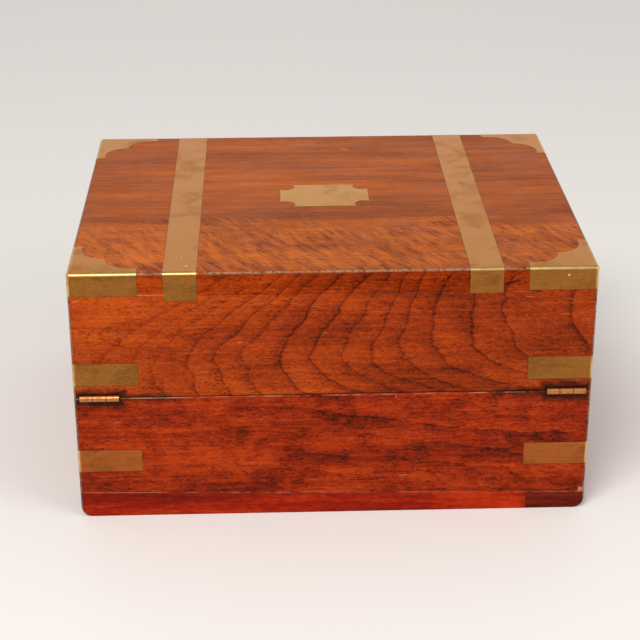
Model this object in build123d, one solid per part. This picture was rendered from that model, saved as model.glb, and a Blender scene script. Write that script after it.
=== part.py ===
from build123d import *
import os
from math import atan2, cos, degrees, radians, sin, sqrt, tan

# Brass-bound mahogany writing box with a side drawer, closed, in millimetres.
# The origin is the middle of the underside.  +Z is up and +X is to the right when the
# hinge side faces you, so -Y is the hinge side (the writer's side once it is open) and
# +Y is the lock side.  The lid and the base meet on a sloping plane through the hinge
# axis, and together they make one long writing slope when the lid lies right over.

# ---- carcass ------------------------------------------------------------------------
WIDTH = 381.0                # 15 in, left to right
DEPTH = 305.0                # 12 in, hinge side to lock side
HEIGHT = 198.0               # a little over 7 3/4 in, closed
WALL = 11.0                  # thickness of the four walls
TOP_BOARD = 17.4
BOTTOM_BOARD = 13.0
EDGE_RADIUS = 2.5            # worn rounding of the upright corners and the top edges
BOTTOM_END_RADIUS = 9.0      # rounding of the left and right ends of the underside
SEAM_Z_LEFT = 20.0           # the bottom edge strip tapers along the hinge side
SEAM_Z_RIGHT = 13.0
PATCH_LENGTH = 44.5          # darker block let into the right end of that strip

# ---- sloping split ------------------------------------------------------------------
HINGE_Z = 99.5               # just over half the height, so that the open lid clears the table
HINGE_OUT = 0.8              # the hinge axis stands this far outside the hinge-side face
SPLIT_Z_LOCK = 149.5         # height of the split at the lock-side face
SPLIT_GAP = 0.5
SPLIT_BEVEL = 0.5            # eased arris each side of the split

# ---- drawer -------------------------------------------------------------------------
DRAWER_OPENING_WIDTH = 190.0
DRAWER_OPENING_TOP = 60.0
DRAWER_CLEARANCE = 0.4       # each side
DRAWER_LIFT = 0.3            # running gap over the bottom board and under the dustboard
DRAWER_SIDE = 7.0
DRAWER_BACK_GAP = 1.0        # the back stops this far off the left wall
DRAWER_SIDE_TOP = 55.0
DRAWER_BOTTOM_THICK = 5.0
DRAWER_BOTTOM_LIFT = 2.0     # air under the drawer's bottom board
GROOVE = 3.5                 # depth of the groove that holds the drawer's bottom
DOVETAILS = 3
DOVETAIL_WIDTH = 8.0
DOVETAIL_FLARE = 1.3         # each side of a tail widens by this much to its end
GUIDE_WIDTH = 10.0
DUSTBOARD = 5.0

# ---- inside of the base -------------------------------------------------------------
DIVIDER_Y = 78.0             # wall between the paper well and the pen compartment
DIVIDER = 8.0
PARTITION_X = 124.0          # inner face of the wall between pen tray and inkwell
PARTITION = 6.0
LEDGE = 8.0
LEDGE_THICK = 6.0
PEN_TRAY_TOP = 134.0
PEN_TRAY_THICK = 16.0
TROUGH_RADIUS = 22.0
TROUGH_DEPTH = 11.0
TROUGH_LENGTH = 190.0
INKWELL_SIDE = 44.0
INKWELL_HEIGHT = 52.0
INKWELL_BORE_RADIUS = 15.0
INKWELL_FLOOR = 6.0
INKWELL_NECK_RADIUS = 18.0
INKWELL_NECK_HEIGHT = 4.0
CAP_RADIUS = 19.0
CAP_HEIGHT = 10.0

# ---- writing flaps ------------------------------------------------------------------
FLAP_THICK = 8.0
FLAP_REBATE = 4.0
LOOSE_FIT = 0.3              # play round the flaps and the pen tray
LEATHER_BORDER = 14.0
LEATHER_THICK = 0.8
LEATHER_SINK = 0.2
FLAP_HINGE_X = 105.0
FLAP_HINGE_LENGTH = 30.0
FLAP_HINGE_LEAF = 7.0
FLAP_HINGE_PLATE = 1.2
FLAP_HINGE_RADIUS = 1.4

# ---- flush brass --------------------------------------------------------------------
BRASS = 1.2
BRASS_PROUD = 0.15
TOP_STRAP_X = 110.0
TOP_STRAP_WIDTH = 24.2
TOP_STRAP_DROP_LEFT = 21.5   # how far the strap ends turn down over the walls
TOP_STRAP_DROP_RIGHT = 19.1
CORNER_LEG_X = 50.0          # reach of a brass corner along the hinge side or the lock side
CORNER_LEG_Y = 53.0          # and along the left or right end
CORNER_CUSP_X = 26.0         # the point between its two round bites lies this far in
CORNER_CUSP_Y = 28.0
CORNER_BITE_RADIUS = 18.3
CORNER_DROP = 17.4
ANGLE_STRAP_LEG = 48.0
ANGLE_STRAP_HEIGHT = 18.0
BASE_ANGLE_STRAP_Z = 38.2
LID_ANGLE_STRAP_Z_HINGE_SIDE = 109.4
LID_ANGLE_STRAP_Z_LOCK_SIDE = 156.0
NAMEPLATE_WIDTH = 70.0
NAMEPLATE_DEPTH = 49.0
NAMEPLATE_X = -1.4           # let in by hand, a little off the middle
NAMEPLATE_Y = 2.4
NAMEPLATE_BITE_RADIUS = 7.0
NAMEPLATE_BITE_INSET = 4.5

# ---- main hinges --------------------------------------------------------------------
HINGE_X_INNER = 157.2
HINGE_X_OUTER = 186.1
KNUCKLE_RADIUS = 2.5
KNUCKLE_OUTER_LENGTH = 9.3
KNUCKLE_GAP = 0.3
KNUCKLE_CLEARANCE = 0.35     # air between a knuckle and the other leaf
BARREL_RECESS_RADIUS = 3.1
LEAF_THICK = 1.5
LEAF_WIDTH = 10.3
PIN_RADIUS = 1.0
PIN_CLEARANCE = 0.05         # radial running clearance in the lid's knuckle

# ---- screws -------------------------------------------------------------------------
SCREW_HEAD_RADIUS = 1.9
SCREW_HEAD_DEPTH = 1.1
SCREW_SHANK_RADIUS = 0.9
SCREW_LENGTH = 8.5
HINGE_SCREW_INSET = 4.6
HINGE_SCREW_FROM_AXIS = 6.6

# ---- box lock -----------------------------------------------------------------------
LOCK_HALF_WIDTH = 26.0
SELVEDGE_HALF_LENGTH = 34.0
SELVEDGE_THICK = 1.8
LOCK_CASE_DEPTH = 7.8
LOCK_CASE_BOTTOM = 114.0
LOCK_SCREW_X = 30.0
LOCK_MID_FROM_INSIDE = 4.2   # line of the hooks, measured from the wall's inner face
KEYHOLE_Z = 129.0
KEYHOLE_RADIUS = 2.6
KEYHOLE_SLOT_WIDTH = 2.4
KEYHOLE_SLOT_LENGTH = 7.5
KEY_CHAMBER_RADIUS = 7.5
DRILL_PIN_RADIUS = 1.0
BOLT_HALF_LENGTH = 22.0
BOLT_HALF_WIDTH = 2.5
BOLT_THICK = 2.4
BOLT_TOP = -2.4              # measured from the split plane, along its normal
BOLT_TRAVEL = 2.7
BOLT_WINDOW = 6.0
BOLT_WINDOW_HALF_WIDTH = 1.5
BOLT_TAIL_HALF_WIDTH = 3.0
BOLT_TAIL_DROP = 6.0
BOLT_NOTCH_RADIUS = 1.6       # the key's bit works in this notch
BOLT_AIR = 0.3
HOOK_X = (-16.0, 11.0)       # where each hook's shank starts
HOOK_SHANK = 2.5
HOOK_FOOT = 2.5
HOOK_HALF_THICK = 1.0
HOOK_FOOT_TOP = -5.2
HOOK_FOOT_BOTTOM = -7.4
ESCUTCHEON_WIDTH = 17.0
ESCUTCHEON_HEIGHT = 27.0

# ---- drawer handle ------------------------------------------------------------------
HANDLE_Z = 36.5
HANDLE_PLATE_WIDTH = 76.0
HANDLE_PLATE_HEIGHT = 36.0
HANDLE_PLATE_THICK = 1.6
CUP_WIDTH = 52.0
CUP_HEIGHT = 24.0
CUP_DEPTH = 7.8
CUP_WALL = 1.0
CUP_CORNER_RADIUS = 3.0
BAIL_RADIUS = 1.5
BAIL_AXIS_DEPTH = 2.45       # the bail's axis lies this far behind the plate's face
BAIL_AXIS_Z = 44.0
BAIL_HALF_WIDTH = 21.0
BAIL_DROP = 9.5
BAIL_BEND_RADIUS = 3.0
BAIL_CLEARANCE = 0.05
HANDLE_SCREW_Y = 32.0
HANDLE_SCREW_Z = 12.5

# ---- worked-out places --------------------------------------------------------------
RIGHT = WIDTH / 2
BACK = DEPTH / 2
INNER_X = RIGHT - WALL
INNER_Y = BACK - WALL
HINGE_Y = -BACK - HINGE_OUT
SLOPE = degrees(atan2(SPLIT_Z_LOCK - HINGE_Z, BACK - HINGE_Y))
SLOPE_FRAME = Pos(0, HINGE_Y, HINGE_Z) * Rot(SLOPE, 0, 0)
WELL_FLOOR = DRAWER_OPENING_TOP + DUSTBOARD
LID_CEILING = HEIGHT - TOP_BOARD
BRASS_FACE = HEIGHT + BRASS_PROUD
FAR = 400.0                  # longer than anything here, for tools that cut right through


# ---- helpers ------------------------------------------------------------------------
def slab(x, y, z):
    """A block between two limits along each axis."""
    block = Box(x[1] - x[0], y[1] - y[0], z[1] - z[0])
    return Pos((x[0] + x[1]) / 2, (y[0] + y[1]) / 2, (z[0] + z[1]) / 2) * block


def slope_slab(x, t, n):
    """A block in the split plane's frame: t runs up the slope from the hinge axis, n is square to it."""
    return SLOPE_FRAME * slab(x, t, n)


def along_slope(y, n=0.0):
    """The distance up the slope of the point that has this y at height n over the split plane."""
    return (y - HINGE_Y + n * sin(radians(SLOPE))) / cos(radians(SLOPE))


def split_z(y):
    """The height of the split plane at this y."""
    return HINGE_Z + (y - HINGE_Y) * tan(radians(SLOPE))


def x_rod(radius, x, at=(0.0, 0.0)):
    """A rod along X, between two limits, at (y, z)."""
    rod = Rot(0, 90, 0) * Cylinder(radius, x[1] - x[0])
    return Pos((x[0] + x[1]) / 2, at[0], at[1]) * rod


def y_rod(radius, y, at=(0.0, 0.0)):
    """A rod along Y, between two limits, at (x, z)."""
    rod = Rot(90, 0, 0) * Cylinder(radius, y[1] - y[0])
    return Pos(at[0], (y[0] + y[1]) / 2, at[1]) * rod


def x_limits(side, inner, outer):
    """Limits along X on the left (side -1) or the right (side 1)."""
    return (inner, outer) if side > 0 else (-outer, -inner)


def y_limits(end, inner, outer):
    """Limits along Y on the hinge side (end -1) or the lock side (end 1)."""
    return (inner, outer) if end > 0 else (-outer, -inner)


def save(node, shape):
    """Write one sub-part to its own file."""
    export_step(shape, f"parts/{node}.step")


SIDES = {"left": -1, "right": 1}
ENDS = {"hinge_side": -1, "lock_side": 1}
CORNERS = [(end, side) for end in ENDS for side in SIDES]


# ---- outer form ---------------------------------------------------------------------
def rounded_block(grow=0.0):
    """The closed box as one block, grown or shrunk, with rounded corners and top edges."""
    width, depth, height = WIDTH + 2 * grow, DEPTH + 2 * grow, HEIGHT + grow
    block = Box(width, depth, height, align=(Align.CENTER, Align.CENTER, Align.MIN))
    rounded = block.edges().filter_by(Axis.Z) + block.edges().group_by(Axis.Z)[-1]
    return fillet(rounded, EDGE_RADIUS + grow)


def wood_envelope():
    """The closed box's outside, with the underside's left and right ends rounded too."""
    profile = Plane.XZ * Pos(0, HEIGHT / 2) * Rectangle(WIDTH, HEIGHT)
    profile = fillet(profile.vertices().group_by(Axis.Z)[0], BOTTOM_END_RADIUS)
    return rounded_block() & extrude(profile, BACK, both=True)


def split_bevel():
    """A shallow V all round the outside of the split, which eases both of its arrises."""
    square = sqrt(2) * (SPLIT_GAP / 2 + SPLIT_BEVEL)
    grooves = []
    for end in ENDS.values():
        place = Pos(0, end * BACK, split_z(end * BACK))
        grooves.append(place * Rot(45, 0, 0) * Box(WIDTH + 2, square, square))
    length = along_slope(BACK)
    for side in SIDES.values():
        place = SLOPE_FRAME * Pos(side * RIGHT, length / 2, 0)
        grooves.append(place * Rot(0, 45, 0) * Box(square, length, square))
    return Part() + grooves


ENVELOPE = wood_envelope()
BRASS_SKIN = rounded_block(BRASS_PROUD) - rounded_block(BRASS_PROUD - BRASS)
BEVEL = split_bevel()
BASE_ZONE = slope_slab((-FAR, FAR), (-FAR, FAR), (-FAR, -SPLIT_GAP / 2))
LID_ZONE = slope_slab((-FAR, FAR), (-FAR, FAR), (SPLIT_GAP / 2, FAR))


# ---- flush brass mounts -------------------------------------------------------------
def corner_region():
    """The space of the brass corner at the left of the hinge side: a plan with two round
    bites that meet in a cusp, and a flange down each wall."""
    reach_x = CORNER_CUSP_X + CORNER_BITE_RADIUS
    reach_y = CORNER_CUSP_Y + CORNER_BITE_RADIUS
    low = -1.0

    def rectangle(u, v):
        return Pos(low, low) * Rectangle(u - low, v - low, align=(Align.MIN, Align.MIN))

    plan = rectangle(reach_x, CORNER_CUSP_Y) + rectangle(CORNER_CUSP_X, reach_y)
    plan += rectangle(CORNER_LEG_X, CORNER_CUSP_Y - CORNER_BITE_RADIUS)
    plan += rectangle(CORNER_CUSP_X - CORNER_BITE_RADIUS, CORNER_LEG_Y)
    plan -= Pos(reach_x, CORNER_CUSP_Y) * Circle(CORNER_BITE_RADIUS)
    plan -= Pos(CORNER_CUSP_X, reach_y) * Circle(CORNER_BITE_RADIUS)
    top = Pos(-RIGHT, -BACK, HEIGHT - EDGE_RADIUS) * extrude(plan, 2 * EDGE_RADIUS)
    return top + angle_region(CORNER_LEG_X, CORNER_LEG_Y, (HEIGHT - CORNER_DROP, HEIGHT + 1))


def angle_region(leg_x, leg_y, z):
    """The space of a strap that turns round the upright corner at the left of the hinge side."""
    along_x = slab((-RIGHT - 1, -RIGHT + leg_x), (-BACK - 1, -BACK + EDGE_RADIUS), z)
    along_y = slab((-RIGHT - 1, -RIGHT + EDGE_RADIUS), (-BACK - 1, -BACK + leg_y), z)
    return along_x + along_y


def to_corner(shape, end, side):
    """Mirror a piece from the left of the hinge side to another corner."""
    if SIDES[side] > 0:
        shape = mirror(shape, Plane.YZ)
    if ENDS[end] > 0:
        shape = mirror(shape, Plane.XZ)
    return shape


def lid_corner(end, side):
    return to_corner(BRASS_SKIN & corner_region(), end, side)


def angle_strap(end, side, bottom):
    z = (bottom, bottom + ANGLE_STRAP_HEIGHT)
    return to_corner(BRASS_SKIN & angle_region(ANGLE_STRAP_LEG, ANGLE_STRAP_LEG, z), end, side)


def top_strap(side):
    """A strap right across the top, turned down over the hinge-side and lock-side walls."""
    drop = TOP_STRAP_DROP_LEFT if side < 0 else TOP_STRAP_DROP_RIGHT
    middle = side * TOP_STRAP_X
    x = (middle - TOP_STRAP_WIDTH / 2, middle + TOP_STRAP_WIDTH / 2)
    return BRASS_SKIN & slab(x, (-FAR, FAR), (HEIGHT - drop, FAR))


def nameplate():
    """A bare plate with a round bite out of each corner."""
    plan = Rectangle(NAMEPLATE_WIDTH, NAMEPLATE_DEPTH)
    across = NAMEPLATE_WIDTH - 2 * NAMEPLATE_BITE_INSET
    along = NAMEPLATE_DEPTH - 2 * NAMEPLATE_BITE_INSET
    plan -= GridLocations(across, along, 2, 2) * Circle(NAMEPLATE_BITE_RADIUS)
    return Pos(NAMEPLATE_X, NAMEPLATE_Y, BRASS_FACE - BRASS) * extrude(plan, BRASS)


LID_BRASS = {f"lid_corner_{end}_{side}": lid_corner(end, side) for end, side in CORNERS}
LID_BRASS["lid_strap_left"] = top_strap(-1)
LID_BRASS["lid_strap_right"] = top_strap(1)
LID_BRASS["lid_nameplate"] = nameplate()
BASE_BRASS = {}
for corner_end, corner_side in CORNERS:
    corner_name = f"{corner_end}_{corner_side}"
    lid_strap_z = LID_ANGLE_STRAP_Z_HINGE_SIDE if ENDS[corner_end] < 0 else LID_ANGLE_STRAP_Z_LOCK_SIDE
    LID_BRASS[f"lid_angle_strap_{corner_name}"] = angle_strap(corner_end, corner_side, lid_strap_z)
    BASE_BRASS[f"base_angle_strap_{corner_name}"] = angle_strap(corner_end, corner_side, BASE_ANGLE_STRAP_Z)


# ---- screws -------------------------------------------------------------------------
def countersunk_screw():
    """A screw with its head's face at the origin and its shank down -Z."""
    half_profile = Polyline(
        (0, 0),
        (SCREW_HEAD_RADIUS, 0),
        (SCREW_SHANK_RADIUS, -SCREW_HEAD_DEPTH),
        (SCREW_SHANK_RADIUS, -SCREW_LENGTH),
        (0, -SCREW_LENGTH),
        close=True,
    )
    return revolve(Plane.XZ * make_face(half_profile), Axis.Z)


SCREW = countersunk_screw()


def base_slope_screw(x, t):
    """A screw down through a plate in the base's sloping edge."""
    return SLOPE_FRAME * Pos(x, t, -SPLIT_GAP / 2) * SCREW


def lid_slope_screw(x, t):
    """A screw up through a plate in the lid's sloping edge."""
    return SLOPE_FRAME * Pos(x, t, SPLIT_GAP / 2) * Rot(180, 0, 0) * SCREW


LOCK_T = along_slope(INNER_Y + LOCK_MID_FROM_INSIDE)
HINGE_SCREW_X = (
    HINGE_X_INNER + HINGE_SCREW_INSET,
    (HINGE_X_INNER + HINGE_X_OUTER) / 2,
    HINGE_X_OUTER - HINGE_SCREW_INSET,
)
SLOPE_SCREWS = [(side * x, HINGE_SCREW_FROM_AXIS) for side in SIDES.values() for x in HINGE_SCREW_X]
SLOPE_SCREWS += [(side * LOCK_SCREW_X, LOCK_T) for side in SIDES.values()]
BASE_SCREWS = Part() + [base_slope_screw(x, t) for x, t in SLOPE_SCREWS]
LID_SCREWS = Part() + [lid_slope_screw(x, t) for x, t in SLOPE_SCREWS]


# ---- main hinges --------------------------------------------------------------------
def hinge_leaf(side, half):
    """One leaf of a butt hinge: half -1 is the base's, with two knuckles, and 1 is the lid's, with one."""
    x = x_limits(side, HINGE_X_INNER, HINGE_X_OUTER)
    base_cut = (x[0] + KNUCKLE_OUTER_LENGTH, x[1] - KNUCKLE_OUTER_LENGTH)
    lid_knuckle = (base_cut[0] + KNUCKLE_GAP, base_cut[1] - KNUCKLE_GAP)
    n = (SPLIT_GAP / 2, SPLIT_GAP / 2 + LEAF_THICK)
    plate = slab(x, (0, LEAF_WIDTH), n if half > 0 else (-n[1], -n[0]))
    notch = KNUCKLE_RADIUS + KNUCKLE_CLEARANCE
    if half < 0:
        leaf = plate + x_rod(KNUCKLE_RADIUS, (x[0], base_cut[0])) + x_rod(KNUCKLE_RADIUS, (base_cut[1], x[1]))
        leaf = leaf - x_rod(notch, base_cut) - x_rod(PIN_RADIUS, x)
        return SLOPE_FRAME * leaf - BASE_SCREWS
    leaf = plate - x_rod(notch, (x[0] - 1, lid_knuckle[0])) - x_rod(notch, (lid_knuckle[1], x[1] + 1))
    leaf = leaf + x_rod(KNUCKLE_RADIUS, lid_knuckle) - x_rod(PIN_RADIUS + PIN_CLEARANCE, x)
    return SLOPE_FRAME * leaf - LID_SCREWS


def hinge_space(half):
    """The wood cut away for both hinges: the leaf housings in one edge and the recess round the barrels."""
    spaces = []
    for side in SIDES.values():
        x = x_limits(side, HINGE_X_INNER, HINGE_X_OUTER)
        n = (-LEAF_THICK - SPLIT_GAP / 2, 0) if half < 0 else (0, LEAF_THICK + SPLIT_GAP / 2)
        spaces.append(slope_slab(x, (-FAR, LEAF_WIDTH), n))
        barrel = (x[0] - KNUCKLE_GAP, x[1] + KNUCKLE_GAP)
        spaces.append(x_rod(BARREL_RECESS_RADIUS, barrel, (HINGE_Y, HINGE_Z)))
    return Part() + spaces


def hinge_pins():
    pins = []
    for side in SIDES.values():
        x = x_limits(side, HINGE_X_INNER, HINGE_X_OUTER)
        pins.append(x_rod(PIN_RADIUS, x, (HINGE_Y, HINGE_Z)))
    return Part() + pins


# ---- box lock with two hooks --------------------------------------------------------
def lock_case_blank():
    """The lock's case and its sloping top plate, before anything is cut out of them."""
    y = (INNER_Y, INNER_Y + LOCK_CASE_DEPTH)
    case = slab((-LOCK_HALF_WIDTH, LOCK_HALF_WIDTH), y, (LOCK_CASE_BOTTOM, HEIGHT))
    case &= slope_slab((-FAR, FAR), (-FAR, FAR), (-FAR, -SPLIT_GAP / 2 - SELVEDGE_THICK))
    return case + edge_plate(-1)


def edge_plate(half):
    """The round-ended plate let into the base's edge (half -1) or the lid's (half 1)."""
    width = 2 * (LOCK_CASE_DEPTH - LOCK_MID_FROM_INSIDE)
    plate = extrude(SlotOverall(2 * SELVEDGE_HALF_LENGTH, width), SELVEDGE_THICK)
    bottom = SPLIT_GAP / 2 if half > 0 else -SPLIT_GAP / 2 - SELVEDGE_THICK
    return SLOPE_FRAME * Pos(0, LOCK_T, bottom) * plate


def keyhole(y):
    """A round keyhole with a slot below it, cut right through between two limits along Y."""
    slot = slab(
        (-KEYHOLE_SLOT_WIDTH / 2, KEYHOLE_SLOT_WIDTH / 2),
        y,
        (KEYHOLE_Z - KEYHOLE_SLOT_LENGTH, KEYHOLE_Z),
    )
    return y_rod(KEYHOLE_RADIUS, y, (0, KEYHOLE_Z)) + slot


def lock_case():
    """The case with the bolt's race, the hooks' slots and pockets, and the key's chamber."""
    t_race = (LOCK_T - BOLT_HALF_WIDTH - BOLT_AIR, LOCK_T + BOLT_HALF_WIDTH + BOLT_AIR)
    race_top = BOLT_TOP + BOLT_AIR
    race_floor = BOLT_TOP - BOLT_THICK - BOLT_AIR
    race_x = (-BOLT_HALF_LENGTH - BOLT_TRAVEL - BOLT_AIR, BOLT_HALF_LENGTH + BOLT_AIR)
    t_hook = (LOCK_T - BOLT_WINDOW_HALF_WIDTH, LOCK_T + BOLT_WINDOW_HALF_WIDTH)
    case = lock_case_blank() - slope_slab(race_x, t_race, (race_floor, race_top))
    for x in HOOK_X:
        hook_x = (x - BOLT_AIR, x + HOOK_SHANK + HOOK_FOOT + BOLT_AIR)
        case -= slope_slab(hook_x, t_hook, (HOOK_FOOT_BOTTOM - BOLT_AIR, 0))
    tail_x = (-BOLT_TAIL_HALF_WIDTH - BOLT_TRAVEL - BOLT_AIR, BOLT_TAIL_HALF_WIDTH + BOLT_AIR)
    case -= slope_slab(tail_x, t_hook, (race_floor - BOLT_TAIL_DROP - BOLT_AIR, race_top))
    back = INNER_Y + LOCK_CASE_DEPTH
    case -= y_rod(KEY_CHAMBER_RADIUS, (INNER_Y + 1.2, back + 1), (0, KEYHOLE_Z))
    case += y_rod(DRILL_PIN_RADIUS, (INNER_Y + 0.6, BACK - 1.5), (0, KEYHOLE_Z))
    return case - BASE_SCREWS


def lock_bolt():
    """The sliding bar: its two windows let the hooks in, and their edges catch them when it moves."""
    t = (LOCK_T - BOLT_HALF_WIDTH, LOCK_T + BOLT_HALF_WIDTH)
    t_window = (LOCK_T - BOLT_WINDOW_HALF_WIDTH, LOCK_T + BOLT_WINDOW_HALF_WIDTH)
    t_tail = (LOCK_T - HOOK_HALF_THICK, LOCK_T + HOOK_HALF_THICK)
    bottom = BOLT_TOP - BOLT_THICK
    bolt = slope_slab((-BOLT_HALF_LENGTH, BOLT_HALF_LENGTH), t, (bottom, BOLT_TOP))
    for x in HOOK_X:
        middle = x + (HOOK_SHANK + HOOK_FOOT) / 2
        window = (middle - BOLT_WINDOW / 2, middle + BOLT_WINDOW / 2)
        bolt -= slope_slab(window, t_window, (bottom, BOLT_TOP))
    tail_x = (-BOLT_TAIL_HALF_WIDTH, BOLT_TAIL_HALF_WIDTH)
    tail = slope_slab(tail_x, t_tail, (bottom - BOLT_TAIL_DROP, bottom))
    notch = SLOPE_FRAME * y_rod(BOLT_NOTCH_RADIUS, (0, FAR), (0, bottom - BOLT_TAIL_DROP))
    return bolt + tail - notch


def lock_link_plate():
    """The lid's plate with the two hooked staples that drop through the lock's top plate."""
    plate = edge_plate(1) - LID_SCREWS
    t = (LOCK_T - HOOK_HALF_THICK, LOCK_T + HOOK_HALF_THICK)
    for x in HOOK_X:
        shank_end = x + HOOK_SHANK
        plate += slope_slab((x, shank_end), t, (HOOK_FOOT_BOTTOM, SPLIT_GAP / 2))
        plate += slope_slab((shank_end, shank_end + HOOK_FOOT), t, (HOOK_FOOT_BOTTOM, HOOK_FOOT_TOP))
    return plate


def keyhole_escutcheon():
    """A flush plate with a round top and a pointed foot round the keyhole."""
    half = ESCUTCHEON_WIDTH / 2
    foot = ESCUTCHEON_HEIGHT - half
    plan = Circle(half) + Polygon((-half, 0), (0, -foot), (half, 0), align=None)
    plate = extrude(Plane.XZ * plan, -BRASS)
    plate = Pos(0, BACK + BRASS_PROUD - BRASS, KEYHOLE_Z) * plate
    return plate - keyhole((BACK - 3, BACK + 3))


# ---- base ---------------------------------------------------------------------------
def bottom_strip():
    """The visible edge of the underside along the hinge side, which is thicker at the left."""
    outline = Polygon(
        (-RIGHT, 0), (RIGHT, 0), (RIGHT, SEAM_Z_RIGHT), (-RIGHT, SEAM_Z_LEFT), align=None
    )
    strip = extrude(Plane.XZ * outline, WALL)
    return Pos(0, -INNER_Y, 0) * strip


def bottom_patch():
    return bottom_strip() & slab((RIGHT - PATCH_LENGTH, RIGHT), (-FAR, FAR), (-1, FAR)) & ENVELOPE


def bottom_board():
    board = slab((-RIGHT, RIGHT), (-BACK, BACK), (0, BOTTOM_BOARD)) + bottom_strip()
    return (board & ENVELOPE) - bottom_patch()


def base_wall(x, y):
    """One wall of the base, from the bottom board up to the split, with the brass let in."""
    wall = slab(x, y, (BOTTOM_BOARD, HEIGHT)) & ENVELOPE & BASE_ZONE
    wall -= BEVEL
    for strap in BASE_BRASS.values():
        wall -= strap
    return wall


def base_wall_hinge_side():
    wall = base_wall((-RIGHT, RIGHT), (-BACK, -INNER_Y)) - bottom_strip()
    return wall - hinge_space(-1) - BASE_SCREWS - flap_hinges(-1)


def base_wall_lock_side():
    wall = base_wall((-RIGHT, RIGHT), (INNER_Y, BACK)) - lock_case_blank() - BASE_SCREWS
    return wall - keyhole((INNER_Y, BACK)) - keyhole_escutcheon()


def base_wall_left():
    return base_wall((-RIGHT, -INNER_X), (-INNER_Y, INNER_Y)) - flap_space(-1)


def base_wall_right():
    """The right wall is open below for the drawer."""
    half = DRAWER_OPENING_WIDTH / 2
    opening = slab((0, FAR), (-half, half), (0, DRAWER_OPENING_TOP))
    return base_wall((INNER_X, RIGHT), (-INNER_Y, INNER_Y)) - opening - flap_space(-1)


def drawer_guides():
    guides = []
    half = DRAWER_OPENING_WIDTH / 2
    for end in ENDS.values():
        y = y_limits(end, half, half + GUIDE_WIDTH)
        guides.append(slab((-INNER_X, INNER_X), y, (BOTTOM_BOARD, DRAWER_OPENING_TOP)))
    return Part() + guides


def drawer_dustboard():
    return slab((-INNER_X, INNER_X), (-INNER_Y, INNER_Y), (DRAWER_OPENING_TOP, WELL_FLOOR))


def well_divider():
    y = (DIVIDER_Y, DIVIDER_Y + DIVIDER)
    return (slab((-INNER_X, INNER_X), y, (WELL_FLOOR, HEIGHT)) & BASE_ZONE) - flap_space(-1)


def inkwell_partitions():
    """Two upright partitions, each with a ledge that carries one end of the pen tray."""
    y = (DIVIDER_Y + DIVIDER, INNER_Y)
    tray_seat = PEN_TRAY_TOP - PEN_TRAY_THICK
    partitions = []
    for side in SIDES.values():
        upright = slab(x_limits(side, PARTITION_X, PARTITION_X + PARTITION), y, (WELL_FLOOR, PEN_TRAY_TOP))
        ledge = slab(x_limits(side, PARTITION_X - LEDGE, PARTITION_X), y, (tray_seat - LEDGE_THICK, tray_seat))
        partitions.append(upright + ledge)
    return Part() + partitions


def pen_tray():
    """A lift-out tray with one scooped trough that has round ends."""
    x = (-PARTITION_X + LOOSE_FIT, PARTITION_X - LOOSE_FIT)
    y = (DIVIDER_Y + DIVIDER + LOOSE_FIT, INNER_Y - LOOSE_FIT)
    tray = slab(x, y, (PEN_TRAY_TOP - PEN_TRAY_THICK, PEN_TRAY_TOP))
    middle_y = (y[0] + y[1]) / 2
    axis_z = PEN_TRAY_TOP + TROUGH_RADIUS - TROUGH_DEPTH
    half = TROUGH_LENGTH / 2
    tray -= x_rod(TROUGH_RADIUS, (-half, half), (middle_y, axis_z))
    for side in SIDES.values():
        tray -= Pos(side * half, middle_y, axis_z) * Sphere(TROUGH_RADIUS)
    return tray


def inkwell_place(side):
    """The middle of an inkwell's foot, in its own compartment."""
    x = side * (PARTITION_X + PARTITION + INNER_X) / 2
    return Pos(x, (DIVIDER_Y + DIVIDER + INNER_Y) / 2, WELL_FLOOR)


def inkwell(side):
    """A square glass well with a round bore and a short neck."""
    up = (Align.CENTER, Align.CENTER, Align.MIN)
    block = Box(INKWELL_SIDE, INKWELL_SIDE, INKWELL_HEIGHT, align=up)
    block = fillet(block.edges().filter_by(Axis.Z), 4)
    block = chamfer(block.edges().group_by(Axis.Z)[-1], 2)
    neck = Pos(0, 0, INKWELL_HEIGHT) * Cylinder(INKWELL_NECK_RADIUS, INKWELL_NECK_HEIGHT, align=up)
    bore = Pos(0, 0, INKWELL_FLOOR) * Cylinder(INKWELL_BORE_RADIUS, INKWELL_HEIGHT, align=up)
    return inkwell_place(side) * (block + neck - bore)


def inkwell_caps():
    """Turned brass lids with a low dome, one on each neck."""
    profile = Polyline(
        (0, 0),
        (CAP_RADIUS, 0),
        (CAP_RADIUS, CAP_HEIGHT - 4),
        (CAP_RADIUS - 3, CAP_HEIGHT - 2),
        (0, CAP_HEIGHT),
        close=True,
    )
    cap = revolve(Plane.XZ * make_face(profile), Axis.Z)
    seat = Pos(0, 0, INKWELL_HEIGHT + INKWELL_NECK_HEIGHT)
    return Part() + [inkwell_place(side) * seat * cap for side in SIDES.values()]


# ---- writing flaps ------------------------------------------------------------------
def flap_t(half):
    """How far up the slope the flap starts and ends.  Half -1 is the base's flap, 1 is the lid's."""
    if half < 0:
        end = along_slope(DIVIDER_Y) + FLAP_REBATE - LOOSE_FIT
        return (along_slope(-INNER_Y) + LOOSE_FIT, end)
    start = along_slope(-INNER_Y, SPLIT_GAP / 2 + FLAP_THICK) + LOOSE_FIT
    return (start, along_slope(INNER_Y) - LOOSE_FIT)


def flap_n(half, top, bottom):
    """Limits square to the slope, counted into the base or into the lid from its edge."""
    n = (SPLIT_GAP / 2 + top, SPLIT_GAP / 2 + bottom)
    return n if half > 0 else (-n[1], -n[0])


def flap_space(half):
    """The rebates that the flap lies in."""
    start, end = flap_t(half)
    reach = INNER_X + FLAP_REBATE
    return slope_slab((-reach, reach), (start - FAR, end + LOOSE_FIT), flap_n(half, -1, FLAP_THICK))


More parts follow.
